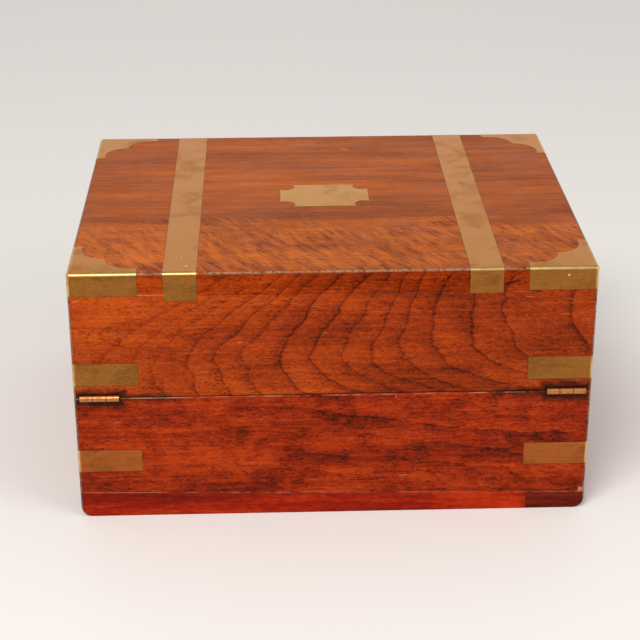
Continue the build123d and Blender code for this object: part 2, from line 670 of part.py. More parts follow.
def leather_limits(half):
    """The leather's limits across the box and up the slope, inset from the flap's edges."""
    start, end = flap_t(half)
    reach = INNER_X + FLAP_REBATE - LOOSE_FIT - LEATHER_BORDER
    return (-reach, reach), (start + LEATHER_BORDER, end - LEATHER_BORDER)


def leather(half):
    x, t = leather_limits(half)
    return slope_slab(x, t, flap_n(half, LEATHER_SINK, LEATHER_SINK + LEATHER_THICK))


def writing_flap(half):
    """A thin board with a shallow pocket for the leather."""
    reach = INNER_X + FLAP_REBATE - LOOSE_FIT
    board = slope_slab((-reach, reach), flap_t(half), flap_n(half, 0, FLAP_THICK))
    x, t = leather_limits(half)
    pocket = slope_slab(x, t, flap_n(half, -1, LEATHER_SINK + LEATHER_THICK))
    return board - pocket - flap_hinges(half)


def flap_hinges(half):
    """Two small butt hinges let in flush between the hinge-side wall and the flap."""
    line = along_slope(-INNER_Y)
    hinges = []
    for side in SIDES.values():
        inner = FLAP_HINGE_X - FLAP_HINGE_LENGTH / 2
        x = x_limits(side, inner, inner + FLAP_HINGE_LENGTH)
        t = (line - FLAP_HINGE_LEAF, line + FLAP_HINGE_LEAF)
        plate = slab(x, t, flap_n(half, 0, FLAP_HINGE_PLATE))
        depth = half * (SPLIT_GAP / 2 + FLAP_HINGE_RADIUS)
        hinges.append(SLOPE_FRAME * (plate + x_rod(FLAP_HINGE_RADIUS, x, (line, depth))))
    return Part() + hinges


# ---- drawer -------------------------------------------------------------------------
DRAWER_HALF_WIDTH = DRAWER_OPENING_WIDTH / 2 - DRAWER_CLEARANCE
DRAWER_FLOOR = BOTTOM_BOARD + DRAWER_LIFT
DRAWER_BACK_X = -INNER_X + DRAWER_BACK_GAP
BOTTOM_Z = (DRAWER_FLOOR + DRAWER_BOTTOM_LIFT, DRAWER_FLOOR + DRAWER_BOTTOM_LIFT + DRAWER_BOTTOM_THICK)


def drawer_bottom():
    reach = DRAWER_HALF_WIDTH - DRAWER_SIDE + GROOVE
    return slab((DRAWER_BACK_X, INNER_X + GROOVE), (-reach, reach), BOTTOM_Z)


def drawer_side(end):
    """One side of the drawer, with dovetails that key into the back of the front."""
    y = y_limits(end, DRAWER_HALF_WIDTH - DRAWER_SIDE, DRAWER_HALF_WIDTH)
    side = slab((DRAWER_BACK_X, INNER_X), y, (DRAWER_FLOOR, DRAWER_SIDE_TOP))
    pitch = (DRAWER_SIDE_TOP - DRAWER_FLOOR) / DOVETAILS
    root, tip = DOVETAIL_WIDTH / 2, DOVETAIL_WIDTH / 2 + DOVETAIL_FLARE
    for number in range(DOVETAILS):
        middle = DRAWER_FLOOR + pitch * (number + 0.5)
        tail = Polygon((0, -root), (DRAWER_SIDE, -tip), (DRAWER_SIDE, tip), (0, root), align=None)
        tail = extrude(Plane.XZ * tail, -DRAWER_SIDE)
        side += Pos(INNER_X, y[0], middle) * tail
    return side - drawer_bottom()


def drawer_back():
    reach = DRAWER_HALF_WIDTH - DRAWER_SIDE
    x = (DRAWER_BACK_X, DRAWER_BACK_X + DRAWER_SIDE)
    return slab(x, (-reach, reach), (BOTTOM_Z[1], DRAWER_SIDE_TOP - 3))


def drawer_front():
    top = DRAWER_OPENING_TOP - DRAWER_LIFT
    front = slab((INNER_X, RIGHT), (-DRAWER_HALF_WIDTH, DRAWER_HALF_WIDTH), (DRAWER_FLOOR, top))
    front = chamfer(front.faces().sort_by(Axis.X)[-1].edges(), 0.5)
    front -= drawer_bottom()
    for end in ENDS.values():
        front -= drawer_side(end)
    return front - handle_plate_blank() - handle_screws()


# ---- drawer handle ------------------------------------------------------------------
HANDLE_FACE = RIGHT + BRASS_PROUD
BAIL_AXIS_X = HANDLE_FACE - BAIL_AXIS_DEPTH


def handle_cup(grow, depth):
    """A round-cornered block that reaches in from the handle plate's face."""
    plan = RectangleRounded(CUP_WIDTH + 2 * grow, CUP_HEIGHT + 2 * grow, CUP_CORNER_RADIUS + grow)
    return Pos(HANDLE_FACE, 0, HANDLE_Z) * extrude(Plane.YZ * plan, -depth)


def handle_plate_blank():
    x = (HANDLE_FACE - HANDLE_PLATE_THICK, HANDLE_FACE)
    z = (HANDLE_Z - HANDLE_PLATE_HEIGHT / 2, HANDLE_Z + HANDLE_PLATE_HEIGHT / 2)
    plate = slab(x, (-HANDLE_PLATE_WIDTH / 2, HANDLE_PLATE_WIDTH / 2), z)
    plate = fillet(plate.edges().filter_by(Axis.X), 2)
    return plate + handle_cup(CUP_WALL, CUP_DEPTH + CUP_WALL)


def drawer_handle_plate():
    """The flush plate with the sunk cup that the bail folds into."""
    plate = handle_plate_blank() - handle_cup(0, CUP_DEPTH)
    reach = CUP_WIDTH / 2 + CUP_WALL
    plate -= y_rod(BAIL_RADIUS + BAIL_CLEARANCE, (-reach, reach), (BAIL_AXIS_X, BAIL_AXIS_Z))
    return plate - handle_screws()


def handle_screws():
    screws = []
    for across in (-HANDLE_SCREW_Y, HANDLE_SCREW_Y):
        for up in (-HANDLE_SCREW_Z, HANDLE_SCREW_Z):
            screws.append(Pos(HANDLE_FACE, across, HANDLE_Z + up) * Rot(0, 90, 0) * SCREW)
    return Part() + screws


def drawer_handle_bail():
    """A bent rod: its two ends turn in the cup's walls and its grip hangs below them."""
    reach = CUP_WIDTH / 2 + CUP_WALL - 0.1
    grip_z = BAIL_AXIS_Z - BAIL_DROP
    route = [
        (BAIL_AXIS_X, -reach, BAIL_AXIS_Z),
        (BAIL_AXIS_X, -BAIL_HALF_WIDTH, BAIL_AXIS_Z),
        (BAIL_AXIS_X, -BAIL_HALF_WIDTH, grip_z),
        (BAIL_AXIS_X, BAIL_HALF_WIDTH, grip_z),
        (BAIL_AXIS_X, BAIL_HALF_WIDTH, BAIL_AXIS_Z),
        (BAIL_AXIS_X, reach, BAIL_AXIS_Z),
    ]
    path = FilletPolyline(*route, radius=BAIL_BEND_RADIUS)
    section = Plane(origin=route[0], z_dir=(0, 1, 0)) * Circle(BAIL_RADIUS)
    return sweep(section, path=path)


# ---- lid ----------------------------------------------------------------------------
def lid_board(x, y, z):
    """A board of the lid above the split, with the brass let in."""
    board = slab(x, y, z) & ENVELOPE & LID_ZONE
    board -= BEVEL
    for mount in LID_BRASS.values():
        board -= mount
    return board


def lid_top_board():
    return lid_board((-RIGHT, RIGHT), (-BACK, BACK), (LID_CEILING, HEIGHT))


def lid_wall(x, y):
    return lid_board(x, y, (0, LID_CEILING))


def lid_wall_hinge_side():
    wall = lid_wall((-RIGHT, RIGHT), (-BACK, -INNER_Y))
    return wall - hinge_space(1) - LID_SCREWS - flap_hinges(1)


def lid_wall_lock_side():
    return lid_wall((-RIGHT, RIGHT), (INNER_Y, BACK)) - edge_plate(1) - LID_SCREWS


def lid_wall_side(side):
    return lid_wall(x_limits(side, INNER_X, RIGHT), (-INNER_Y, INNER_Y)) - flap_space(1)


# ---- write every sub-part -----------------------------------------------------------
os.makedirs("parts", exist_ok=True)

save("bottom_board", bottom_board())
save("bottom_edge_patch", bottom_patch())
save("base_wall_hinge_side", base_wall_hinge_side())
save("base_wall_lock_side", base_wall_lock_side())
save("base_wall_left", base_wall_left())
save("base_wall_right", base_wall_right())
save("drawer_guides", drawer_guides())
save("drawer_dustboard", drawer_dustboard())
save("well_divider", well_divider())
save("inkwell_partitions", inkwell_partitions())
save("pen_tray", pen_tray())
save("inkwell_caps", inkwell_caps())
save("base_screws", BASE_SCREWS)
save("hinge_pins", hinge_pins())
save("lock_case", lock_case())
save("keyhole_escutcheon", keyhole_escutcheon())
save("lock_bolt", lock_bolt())
save("drawer_front", drawer_front())
save("drawer_back", drawer_back())
save("drawer_bottom", drawer_bottom())
save("drawer_handle_plate", drawer_handle_plate())
save("drawer_handle_screws", handle_screws())
save("drawer_handle_bail", drawer_handle_bail())
save("lid_top_board", lid_top_board())
save("lid_wall_hinge_side", lid_wall_hinge_side())
save("lid_wall_lock_side", lid_wall_lock_side())
save("lock_link_plate", lock_link_plate())
save("lid_screws", LID_SCREWS)

for end_name, end_sign in ENDS.items():
    save(f"drawer_{end_name}", drawer_side(end_sign))

for side_name, side_sign in SIDES.items():
    save(f"inkwell_{side_name}", inkwell(side_sign))
    save(f"hinge_leaf_base_{side_name}", hinge_leaf(side_sign, -1))
    save(f"hinge_leaf_lid_{side_name}", hinge_leaf(side_sign, 1))
    save(f"lid_wall_{side_name}", lid_wall_side(side_sign))

for body_name, body_half in {"base": -1, "lid": 1}.items():
    save(f"{body_name}_writing_flap", writing_flap(body_half))
    save(f"{body_name}_writing_leather", leather(body_half))
    save(f"{body_name}_flap_hinges", flap_hinges(body_half))

for brass_name, brass_shape in {**BASE_BRASS, **LID_BRASS}.items():
    save(brass_name, brass_shape)
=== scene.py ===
import math

import bmesh
import bpy
from mathutils import Matrix, Vector
from mathutils.noise import noise as soft_noise


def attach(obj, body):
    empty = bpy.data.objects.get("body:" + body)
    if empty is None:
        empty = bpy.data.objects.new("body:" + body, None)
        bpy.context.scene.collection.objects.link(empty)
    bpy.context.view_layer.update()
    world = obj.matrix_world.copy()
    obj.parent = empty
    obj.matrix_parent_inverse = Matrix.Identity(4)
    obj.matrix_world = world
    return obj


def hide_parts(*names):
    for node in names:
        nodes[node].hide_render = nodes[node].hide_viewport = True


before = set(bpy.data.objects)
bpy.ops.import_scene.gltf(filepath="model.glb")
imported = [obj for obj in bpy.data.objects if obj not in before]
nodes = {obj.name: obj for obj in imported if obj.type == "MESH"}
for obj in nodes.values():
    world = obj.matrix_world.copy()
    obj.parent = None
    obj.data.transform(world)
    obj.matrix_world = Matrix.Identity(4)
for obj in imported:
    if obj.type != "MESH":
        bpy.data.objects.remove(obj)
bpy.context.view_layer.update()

# Sizes repeated from the part's source, in millimetres.
HALF_WIDTH, HALF_DEPTH, HEIGHT = 190.5, 152.5, 198.0
HINGE_Y, HINGE_Z = -153.3, 99.5
SLOPE = math.atan2(149.5 - HINGE_Z, HALF_DEPTH - HINGE_Y)
HINGE_X = 171.6                     # a hinge's middle, from the box's middle
LEATHER_REACH = 169.0               # a leather's half width
LEATHER_GAP = 0.2                   # from the ends of its pocket
LEATHER_THICK = 0.558
LEAF_SCREW_X = (161.8, 171.65, 181.5)
LEAF_SCREW_UP = 6.6                 # along the slope, from the hinge line
LOCK_SCREW_X, LOCK_SCREW_UP = 30.0, 302.97
HANDLE_SCREW_X, HANDLE_SCREW_Y, HANDLE_SCREW_Z = 190.65, 32.0, (24.0, 49.0)
SCREW_HEAD = 1.9                    # radius
SCREW_SUNK = 0.25                   # heads below the sloping joint


# ---------------------------------------------------------------- camera, floor and light
CAMERA_PLACE = (-0.0461, -1.2838, 0.6714)               # metres
CAMERA_YAW, CAMERA_PITCH, CAMERA_ROLL = -1.830, 24.331, -0.152      # degrees
CAMERA_LENS = 96.92


def make_camera():
    """The photograph's camera."""
    yaw, pitch, roll = (math.radians(a) for a in (CAMERA_YAW, CAMERA_PITCH, CAMERA_ROLL))
    right = Vector((math.cos(yaw), math.sin(yaw), 0))
    up = Vector((-math.sin(yaw) * math.sin(pitch), math.cos(yaw) * math.sin(pitch), math.cos(pitch)))
    x = right * math.cos(roll) + up * math.sin(roll)
    y = up * math.cos(roll) - right * math.sin(roll)
    turn = Matrix((x, y, right.cross(up))).transposed().to_4x4()
    data = bpy.data.cameras.new("camera")
    data.sensor_width = 36.0
    data.lens = CAMERA_LENS
    data.clip_end = 50
    camera = bpy.data.objects.new("camera", data)
    camera.matrix_world = Matrix.Translation(CAMERA_PLACE) @ turn
    bpy.context.scene.collection.objects.link(camera)
    bpy.context.scene.camera = camera


def area_light(name, place, size, power, colour):
    """A soft lamp that faces the box."""
    data = bpy.data.lights.new(name, "AREA")
    data.shape = "RECTANGLE"
    data.size, data.size_y = size
    data.energy = power
    data.color = colour
    lamp = bpy.data.objects.new(name, data)
    lamp.location = place
    lamp.rotation_euler = (Vector((0, 0, 0.1)) - Vector(place)).to_track_quat("-Z", "Y").to_euler()
    bpy.context.scene.collection.objects.link(lamp)


def make_floor():
    far, low = 8.0, -0.0002
    mesh = bpy.data.meshes.new("floor")
    corners = [(-far, -far, low), (far, -far, low), (far, far, low), (-far, far, low)]
    mesh.from_pydata(corners, [], [(0, 1, 2, 3)])
    floor = bpy.data.objects.new("floor", mesh)
    bpy.context.scene.collection.objects.link(floor)
    material = bpy.data.materials.new("floor")
    material.use_nodes = True
    shader = material.node_tree.nodes["Principled BSDF"]
    shader.inputs["Base Color"].default_value = (0.82, 0.80, 0.78, 1)
    shader.inputs["Roughness"].default_value = 0.9
    mesh.materials.append(material)


def make_world():
    world = bpy.data.worlds.new("world")
    world.use_nodes = True
    background = world.node_tree.nodes["Background"]
    background.inputs["Color"].default_value = (0.95, 0.93, 0.91, 1)
    background.inputs["Strength"].default_value = 0.55
    bpy.context.scene.world = world


make_camera()
make_floor()
make_world()
area_light("key", (-0.75, -1.5, 2.1), (1.2, 0.9), 42, (1.0, 0.97, 0.93))
area_light("fill", (1.6, -1.2, 1.2), (1.2, 1.2), 14, (1.0, 0.98, 0.96))
area_light("back", (0.0, 3.0, 1.35), (3.4, 1.6), 11, (1.0, 0.95, 0.90))
bpy.context.scene.view_settings.view_transform = "Standard"


# ---------------------------------------------------------------- short calls for material nodes
def colour(red, green, blue):
    """A colour given as it shows on a screen, 0 to 255, for a shader's colour socket."""
    def straight(v):
        v = v / 255
        return v / 12.92 if v <= 0.04045 else ((v + 0.055) / 1.055) ** 2.4
    return (straight(red), straight(green), straight(blue), 1.0)


class Shade:
    """One material's nodes. Lengths are millimetres in the shared frame."""

    def __init__(self, name):
        self.material = bpy.data.materials.new(name)
        self.material.use_nodes = True
        self.tree = self.material.node_tree
        self.shader = self.tree.nodes["Principled BSDF"]
        place = self.add("ShaderNodeTexCoord").outputs["Object"]
        scaled = self.add("ShaderNodeVectorMath", operation="SCALE")
        self.tree.links.new(place, scaled.inputs[0])
        scaled.inputs["Scale"].default_value = 1000
        self.mm = scaled.outputs[0]
        apart = self.add("ShaderNodeSeparateXYZ")
        self.tree.links.new(self.mm, apart.inputs[0])
        self.x, self.y, self.z = apart.outputs

    def add(self, kind, **settings):
        made = self.tree.nodes.new(kind)
        for key, value in settings.items():
            setattr(made, key, value)
        return made

    def feed(self, socket, value):
        if isinstance(value, bpy.types.NodeSocket):
            self.tree.links.new(value, socket)
        else:
            socket.default_value = value

    def set(self, **sockets):
        """Sets or links the shader's sockets, named with underscores for spaces."""
        for key, value in sockets.items():
            self.feed(self.shader.inputs[key.replace("_", " ")], value)

    def math(self, operation, *values, clamp=False):
        made = self.add("ShaderNodeMath", operation=operation, use_clamp=clamp)
        for socket, value in zip(made.inputs, values):
            self.feed(socket, value)
        return made.outputs[0]

    def plus(self, *values):
        total = values[0]
        for value in values[1:]:
            total = self.math("ADD", total, value)
        return total

    def times(self, *values):
        total = values[0]
        for value in values[1:]:
            total = self.math("MULTIPLY", total, value)
        return total

    def most(self, *values):
        total = values[0]
        for value in values[1:]:
            total = self.math("MAXIMUM", total, value)
        return total

    def least(self, *values):
        total = values[0]
        for value in values[1:]:
            total = self.math("MINIMUM", total, value)
        return total

    def less(self, value, taken):
        return self.math("SUBTRACT", value, taken)

    def away(self, value, middle):
        """How far a value is from a middle."""
        return self.math("ABSOLUTE", self.less(value, middle))

    def reach(self, across, up):
        """The distance of a point from the origin of a plane."""
        return self.math("SQRT", self.plus(self.times(across, across), self.times(up, up)))

    def fade(self, value, start, end, low=0.0, high=1.0):
        """From low to high, smoothly, as value goes from start to end."""
        made = self.add("ShaderNodeMapRange", interpolation_type="SMOOTHSTEP")
        given = {"Value": value, "From Min": start, "From Max": end, "To Min": low, "To Max": high}
        for key, number in given.items():
            self.feed(made.inputs[key], number)
        return made.outputs["Result"]

    def run(self, value, start, end):
        """From 0 to 1 in a straight line as value goes from start to end."""
        made = self.add("ShaderNodeMapRange")
        for key, given in (("Value", value), ("From Min", start), ("From Max", end)):
            self.feed(made.inputs[key], given)
        return made.outputs["Result"]

    def steps(self, value, stops, interpolation="LINEAR"):
        """A colour or grey that follows stops of (place, colour or grey)."""
        made = self.add("ShaderNodeValToRGB")
        ramp = made.color_ramp
        ramp.interpolation = interpolation
        while len(ramp.elements) < len(stops):
            ramp.elements.new(1.0)
        for element, (place, shown) in zip(ramp.elements, stops):
            element.position = place
            element.color = shown if hasattr(shown, "__len__") else (shown, shown, shown, 1)
        self.feed(made.inputs[0], value)
        return made.outputs[0]

    def vector(self, x, y, z):
        made = self.add("ShaderNodeCombineXYZ")
        for socket, value in zip(made.inputs, (x, y, z)):
            self.feed(socket, value)
        return made.outputs[0]

    def noise(self, size, detail=3.0, rough=0.55, seed=0.0, warp=0.0, at=None):
        """Soft noise from 0 to 1 whose marks are size (x, y, z) millimetres."""
        scaled = self.add("ShaderNodeVectorMath", operation="DIVIDE")
        self.feed(scaled.inputs[0], at or self.mm)
        scaled.inputs[1].default_value = size
        moved = self.add("ShaderNodeVectorMath", operation="ADD")
        self.feed(moved.inputs[0], scaled.outputs[0])
        moved.inputs[1].default_value = (seed * 7.31, seed * 3.17, seed * 5.93)
        made = self.add("ShaderNodeTexNoise")
        self.feed(made.inputs["Vector"], moved.outputs[0])
        for key, given in (("Scale", 1.0), ("Detail", detail), ("Roughness", rough), ("Distortion", warp)):
            made.inputs[key].default_value = given
        return made.outputs["Fac"]

    def sway(self, amount, *looks):
        """Soft noise, with looks as above, that swings about zero by up to half of amount."""
        return self.times(self.less(self.noise(*looks), 0.5), amount)

    def mix(self, factor, a, b):
        made = self.add("ShaderNodeMix", data_type="RGBA")
        self.feed(made.inputs[0], factor)
        self.feed(made.inputs[6], a)
        self.feed(made.inputs[7], b)
        return made.outputs[2]

    def crease(self, radius):
        """0 on flats, towards 1 within radius millimetres of a sharp edge of the same piece."""
        round_off = self.add("ShaderNodeBevel", samples=4)
        round_off.inputs["Radius"].default_value = radius / 1000
        facing = self.add("ShaderNodeNewGeometry")
        dot = self.add("ShaderNodeVectorMath", operation="DOT_PRODUCT")
        self.feed(dot.inputs[0], round_off.outputs[0])
        self.feed(dot.inputs[1], facing.outputs["Normal"])
        return self.fade(dot.outputs["Value"], 0.999, 0.90)

    def bump(self, height, depth, strength=1.0):
        """Makes the surface dip and rise with height, by up to depth millimetres."""
        made = self.add("ShaderNodeBump")
        made.inputs["Strength"].default_value = strength
        made.inputs["Distance"].default_value = depth / 1000
        self.feed(made.inputs["Height"], height)
        self.feed(self.shader.inputs["Normal"], made.outputs[0])

    def arris(self, width):
        """1 on the box's outer rounded edges, fading over width millimetres."""
        x = self.fade(self.away(self.x, 0), HALF_WIDTH - width, HALF_WIDTH - 0.4)
        y = self.fade(self.away(self.y, 0), HALF_DEPTH - width, HALF_DEPTH - 0.4)
        top = self.fade(self.z, HEIGHT - width, HEIGHT - 0.4)
        return self.most(self.times(x, y), self.times(y, top), self.times(x, top))

    def box_distance(self, across, centre, half, up, level, half_up):
        """How far outside a rectangle, in millimetres; negative inside it."""
        return self.most(
            self.less(self.away(across, centre), half),
            self.less(self.away(up, level), half_up),
        )


def stretched(grain, length, width):
    """A noise size whose marks lie along the grain axis."""
    return tuple(length if axis == grain else width for axis in "xyz")


# ---------------------------------------------------------------- wood
def darkened(base, amount):
    return tuple(c * amount for c in base[:3]) + (1,)


def wood_colour(s, grain, shades, seed, pores=0.6, streaks=0.5, broad=0.6, figure=None):
    """The colour of sawn wood, and where its pores show.

    figure(s, tone, crowd) may change the tone and how the pores crowd.
    """
    dark, middle, light = shades
    tone = s.plus(
        0.5,
        s.sway(broad * 1.6, stretched(grain, 150, 26), 3, 0.6, seed, 0.3),
        s.sway(streaks * 0.9, stretched(grain, 60, 2.6), 4, 0.65, seed + 1),
        s.sway(streaks * 0.9, stretched(grain, 7, 1.8), 3, 0.7, seed + 2),
    )
    flecks = s.fade(s.noise(stretched(grain, 2.9, 1.05), 2, 0.6, seed + 3), 0.53, 0.66)
    crowd = s.fade(s.noise(stretched(grain, 30, 11), 3, 0.6, seed + 4), 0.32, 0.64, 0.15, 1.0)
    if figure:
        tone, crowd = figure(s, tone, crowd)
    marks = s.times(flecks, crowd, pores)
    shown = s.steps(tone, [(0.10, dark), (0.48, middle), (0.88, light)])
    return s.mix(marks, shown, darkened(dark, 0.35)), marks


def polish(s, shown, marks, seed, gloss, shine=0.12):
    """Painted shade along the sharp edges and creases, and an old hand-rubbed shine."""
    # painted shade: the crease mask darkens the wood along its sharp edges and in creases, as in the gaps
    # beside the brass
    s.set(Base_Color=s.mix(s.times(s.crease(0.7), 0.75), shown, colour(34, 14, 8)))
    smudge = s.noise((45, 45, 45), 4, 0.6, seed + 5)
    s.set(Roughness=s.plus(s.fade(smudge, 0.3, 0.7, gloss - 0.05, gloss + 0.09), s.times(marks, 0.2)))
    s.set(Specular_IOR_Level=shine, Specular_Tint=(1.0, 0.74, 0.52, 1))
    s.bump(s.plus(s.times(marks, -1.0), s.times(smudge, 0.25)), 0.05, 0.6)
    return s


def wood(name, grain, shades, seed, gloss=0.3, **looks):
    s = Shade(name)
    shown, marks = wood_colour(s, grain, shades, seed, **looks)
    return polish(s, shown, marks, seed, gloss)


# Where each growth ring of the lid's back crosses its axis, and how strongly it shows.
LID_RINGS = (
    (-176, 0.35), (-152, 0.4), (-131, 0.5), (-108, 0.75), (-85, 0.75), (-63, 0.7), (-35, 1.0), (-10, 1.0),
    (11, 0.8), (29, 0.55), (47, 0.85), (71, 0.75), (103, 0.8), (125, 0.6), (169, 0.6), (230, 0.4),
)
RINGS_START = -260
RING_AXIS_Z, RING_AXIS_LEAN = 138.0, 0.15       # the axis at the box's middle, and its rise to the right


def ring_phase(s, along, first, rings):
    """How far a point lies from one ring line, 0, to the next, 1, and that next line's strength."""
    span = rings[-1][0] - first
    reach = s.run(along, first, rings[-1][0])
    phase = [(0.0, 0.0)]
    strengths = []
    before = first
    for place, strength in rings:
        strengths.append(((before - first) / span, strength))
        before = place
    for place, _ in rings[:-1]:
        where = (place - first) / span
        phase += [(where, 1.0), (where + 0.003, 0.0)]
    phase.append((1.0, 1.0))
    return s.steps(reach, phase), s.steps(reach, strengths, "CONSTANT")


def lid_back_rings(s):
    """Nested arcs that open to the right, as where a board is cut close to the heart."""
    rise = s.less(s.z, s.plus(RING_AXIS_Z, s.times(s.x, RING_AXIS_LEAN)))
    upper = s.fade(s.x, -150, 120, 0.026, 0.007)
    lower = s.fade(s.x, -150, 120, 0.010, 0.021)
    bend = s.plus(s.times(s.fade(rise, -8, 8), upper), s.times(s.fade(rise, 8, -8), lower))
    wave = s.sway(34, (70, 60, 34), 2, 0.5, 3.0)
    fine = s.sway(4.5, (7, 7, 5), 3, 0.65, 4.0)
    along = s.plus(s.less(s.x, s.times(rise, rise, bend)), wave, fine)
    return ring_phase(s, along, RINGS_START, LID_RINGS)


def lid_back_figure(s, tone, crowd):
    """Dotted ring lines, each with a shadow on its left, palest at the left end and darkest in the middle."""
    phase, strength = lid_back_rings(s)
    dots = s.fade(s.noise((1.8, 1.8, 1.5), 2, 0.6, 5.0), 0.38, 0.54)
    late = s.times(s.fade(phase, 0.86, 0.985), strength, s.plus(0.3, s.times(dots, 0.7)))
    shade = s.times(s.math("POWER", phase, 2.5), strength)
    pale_end = s.fade(s.x, -105, -165)
    dark_middle = s.times(s.fade(s.x, -45, 10), s.fade(s.x, 130, 90))
    tone = s.plus(
        tone,
        0.02,
        s.times(pale_end, 0.12),
        s.times(dark_middle, -0.09),
        s.sway(0.55, (46, 40, 26), 3, 0.6, 51.0),
        s.sway(0.6, (1.9, 1.9, 1.3), 3, 0.7, 52.0),
        s.times(shade, -0.20),
        s.times(late, -0.42),
    )
    return tone, s.least(s.times(crowd, s.plus(0.6, s.times(shade, 0.8))), 1.0)


STREAK_LEAN, STREAK_GAP = 0.14, 17.0
KNOT_X, KNOT_Z = -67, 69


def base_back_figure(s, tone, crowd):
    """Long streaks that fall slightly to the right, mottled at the left, with a small knot."""
    wave = s.sway(24, (90, 60, 20), 3, 0.6, 8.0)
    fine = s.sway(3.0, (9, 8, 3), 3, 0.65, 9.0)
    along = s.plus(s.z, s.times(s.x, STREAK_LEAN), wave, fine)
    saw = s.math("FRACT", s.math("DIVIDE", along, STREAK_GAP))
    patchy = s.fade(s.noise((60, 40, 12), 2, 0.5, 14.0), 0.34, 0.60, 0.2, 1.0)
    strength = s.times(s.fade(s.x, -90, 60, 0.3, 1.0), patchy)
    dots = s.fade(s.noise((2.8, 2.6, 1.6), 2, 0.6, 5.0), 0.38, 0.56)
    late = s.times(s.fade(saw, 0.86, 1.0), strength, dots)
    knot_x, knot_z = s.less(s.x, KNOT_X), s.less(s.z, KNOT_Z)
    knot = s.math("SQRT", s.plus(s.times(knot_x, knot_x, 0.7), s.times(knot_z, knot_z)))
    knot = s.fade(s.plus(knot, s.times(s.noise((6, 6, 6), 2, 0.5, 2.0), 5)), 11, 3)
    mottle = s.fade(s.noise((15, 12, 9), 4, 0.65, 12.0), 0.42, 0.64)
    tone = s.plus(
        tone,
        0.07,
        s.times(saw, strength, -0.22),
        s.times(late, -0.22),
        s.times(knot, -0.34),
        s.times(mottle, -0.18),
        s.sway(0.6, (1.9, 1.9, 1.3), 3, 0.7, 53.0),
    )
    crowd = s.plus(s.times(crowd, 0.5), s.times(mottle, 0.45), s.times(saw, strength, 0.35))
    return tone, s.least(crowd, 1.0)


def strip_figure(s, tone, crowd):
    """The bottom strip is palest near its right end."""
    paler = s.times(s.fade(s.x, 55, 110), s.fade(s.x, 150, 138))
    return s.plus(tone, -0.04, s.times(paler, 0.36)), crowd


def near_back(s, depth):
    """1 on the hinge side's face, fading over a depth behind it."""
    return s.fade(s.away(s.y, -HALF_DEPTH), depth, 1)


def hinge_stain(s, shown):
    """The black that old hinges leave on polished wood."""
    side = s.away(s.x, 0)
    ragged = s.sway(-14, (9, 9, 4), 4, 0.65, 21.0)
    round_barrel = s.plus(s.box_distance(side, HINGE_X, 15.5, s.z, 98.8, 4.0), ragged)
    tail = s.plus(s.box_distance(side, 150, 30, s.z, 99.4, 1.0), s.times(ragged, 0.5))
    black = s.most(s.fade(round_barrel, 6.5, -0.5), s.times(s.fade(tail, 4.0, -0.6), 0.85))
    return s.mix(s.times(black, near_back(s, 6), 0.9), shown, colour(26, 12, 8))


def pale_marks(s, shown, masks, seed):
    """Pale marks, broken up unevenly: thin places where the polish has gone, and painted highlight lines."""
    broken = s.fade(s.noise((16, 16, 16), 4, 0.65, seed), 0.36, 0.62)
    return s.mix(s.times(s.most(*masks), broken, near_back(s, 5)), shown, colour(178, 128, 92))


SEAM_Z, SEAM_LEAN = 16.5, -0.01837      # the seam over the bottom strip, and its fall to the right
# the height of the painted highlight line under the lid joint
JOINT_HIGHLIGHT_Z = 98.8
NICK_X, NICK_Z = 46, 97.0
CHIP_X, CHIP_Z = 187.6, 15.6


def base_back_marks(s, shown):
    """Painted highlights as pale lines under the lid joint and over the bottom strip, and a chip and a nick.
    """
    seam = s.less(s.z, s.plus(SEAM_Z, s.times(s.x, SEAM_LEAN)))
    drift = s.sway(0.5, (40, 40, 40), 2, 0.5, 24.0)
    # painted highlight: a pale line where the bevel under the lid joint catches the light
    under_joint = s.times(s.fade(s.away(s.plus(s.z, drift), JOINT_HIGHLIGHT_Z), 0.5, 0.2), 0.75)
    # painted highlight: a pale line along the seam over the bottom strip
    over_strip = s.times(s.fade(s.away(seam, 0.3), 0.5, 0.2), 0.6)
    nick = s.times(s.fade(s.away(s.x, NICK_X), 0.6, 0.3), s.fade(s.away(s.z, NICK_Z), 1.8, 1.2), 1.2)
    corner = s.box_distance(s.x, CHIP_X, 1.6, s.z, CHIP_Z, 1.4)
    chip = s.times(s.fade(s.plus(corner, s.times(s.noise((2, 2, 2), 3, 0.6, 25.0), 2)), 2.2, 0.6), 1.1)
    return pale_marks(s, shown, (under_joint, over_strip, nick, chip), 26.0)


ARC_X, ARC_Z = -182, 168                # the middle of the curved scratches
TOP_JOINT_Z = 180.9                     # where the top board's edge meets the wall


def lid_back_marks(s, shown):
    """Curved scratches by the left corner and a dark smear by the right one."""
    arc = s.reach(s.less(s.x, ARC_X), s.less(s.z, ARC_Z))
    arcs = s.most(s.fade(s.away(arc, 9.5), 0.7, 0.25), s.fade(s.away(arc, 7.0), 0.6, 0.2))
    arcs = s.times(arcs, s.fade(s.x, -181, -184), s.fade(s.z, 171, 174))
    joint = s.times(s.fade(s.away(s.z, TOP_JOINT_Z), 0.5, 0.2), s.fade(s.x, -97, -112), 0.9)
    shown = pale_marks(s, shown, (arcs, joint), 27.0)
    lean = s.plus(s.z, s.times(s.x, -0.35))
    above = s.fade(s.z, TOP_JOINT_Z + 1.1, TOP_JOINT_Z + 3.1)
    smear = s.times(s.fade(s.away(lean, 142.0), 1.6, 0.3), s.fade(s.away(s.x, 127), 8, 4), above)
    under = s.times(s.fade(s.away(s.z, TOP_JOINT_Z - 1.1), 1.1, 0.3), s.fade(s.away(s.x, 145), 7, 3))
    return s.mix(s.times(s.most(smear, under), 0.8), shown, colour(40, 16, 10))


